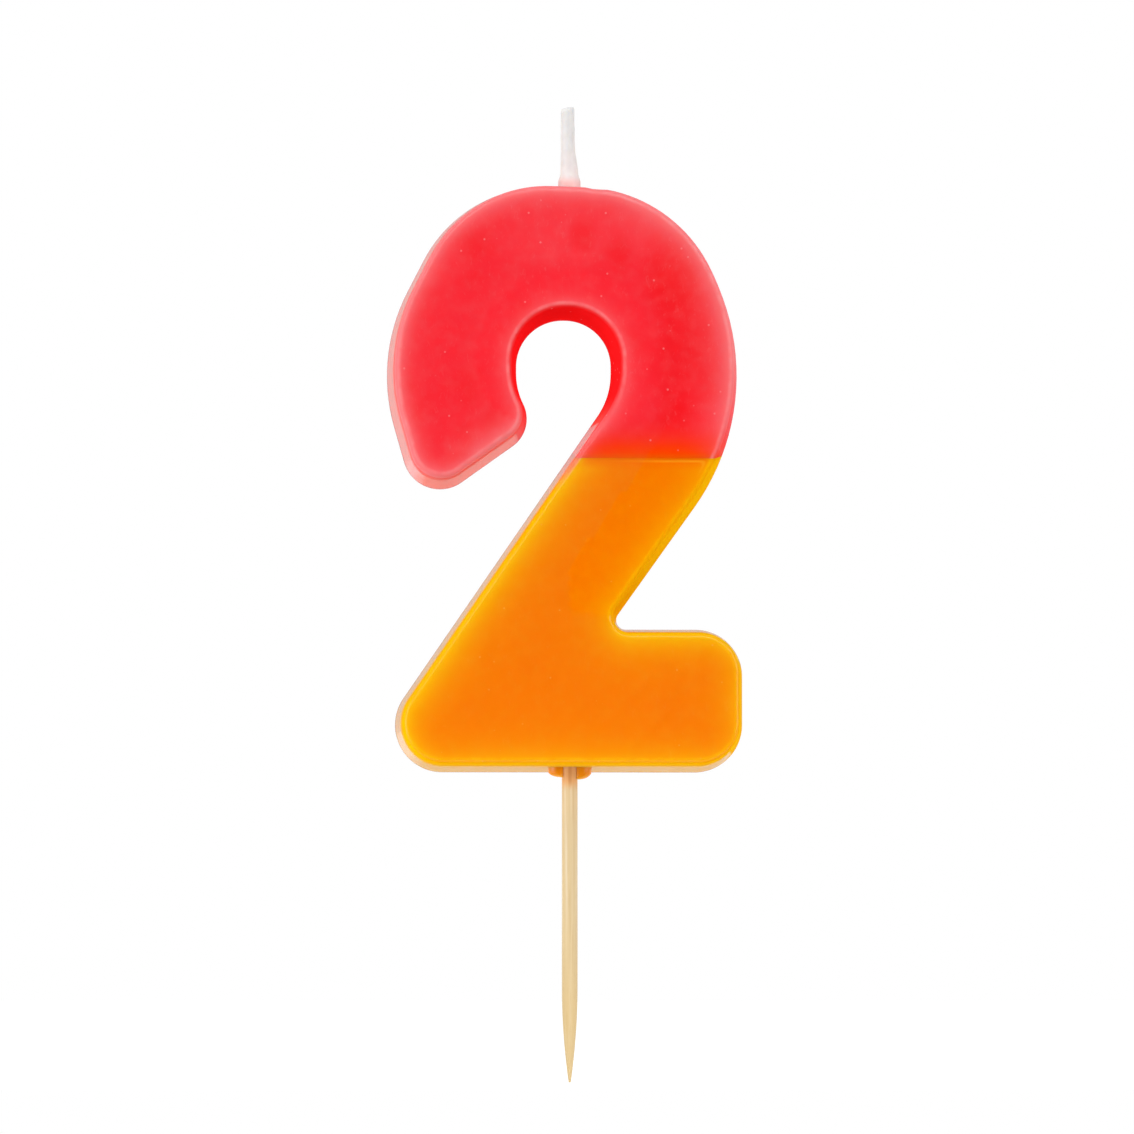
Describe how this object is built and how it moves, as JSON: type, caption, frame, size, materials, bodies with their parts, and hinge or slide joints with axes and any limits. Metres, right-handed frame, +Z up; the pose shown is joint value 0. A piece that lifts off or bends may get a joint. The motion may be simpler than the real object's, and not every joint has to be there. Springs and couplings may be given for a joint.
{
  "type": "number birthday candle",
  "caption": "Moulded wax digit in coral and orange with a bendable white wick on top and a pointed wooden pick below for standing it in a cake.",
  "frame": {"origin": "on the pick's axis, level with the underside of the digit's foot at its back edge", "axes": "+Z up along the pick towards the wick, +X to the reader's right, -Y out of the moulded face towards the reader, +Y out of the flat poured back"},
  "size_m": [0.0452, 0.01, 0.1235],
  "materials": {
    "coral_wax": "smooth dyed paraffin wax, lightly glossy and translucent",
    "orange_wax": "smooth dyed paraffin wax, lightly glossy and translucent",
    "cotton": "braided cotton",
    "waxed_cotton": "braided cotton dipped in white wax",
    "bamboo": "sanded, unvarnished"
  },
  "bodies": {
    "candle": {"head_wax": "coral_wax", "foot_wax": "orange_wax", "wick_root": "cotton", "pick": "bamboo", "pick_seal": "orange_wax"},
    "wick": {"wick": "waxed_cotton"}
  },
  "joints": [
    {"name": "wick_bend", "type": "hinge", "parent": "candle", "child": "wick", "pos_m": [-0.0003, 0, 0.07579], "axis": [0, 1, 0], "range_deg": [-75, 75]}
  ]
}
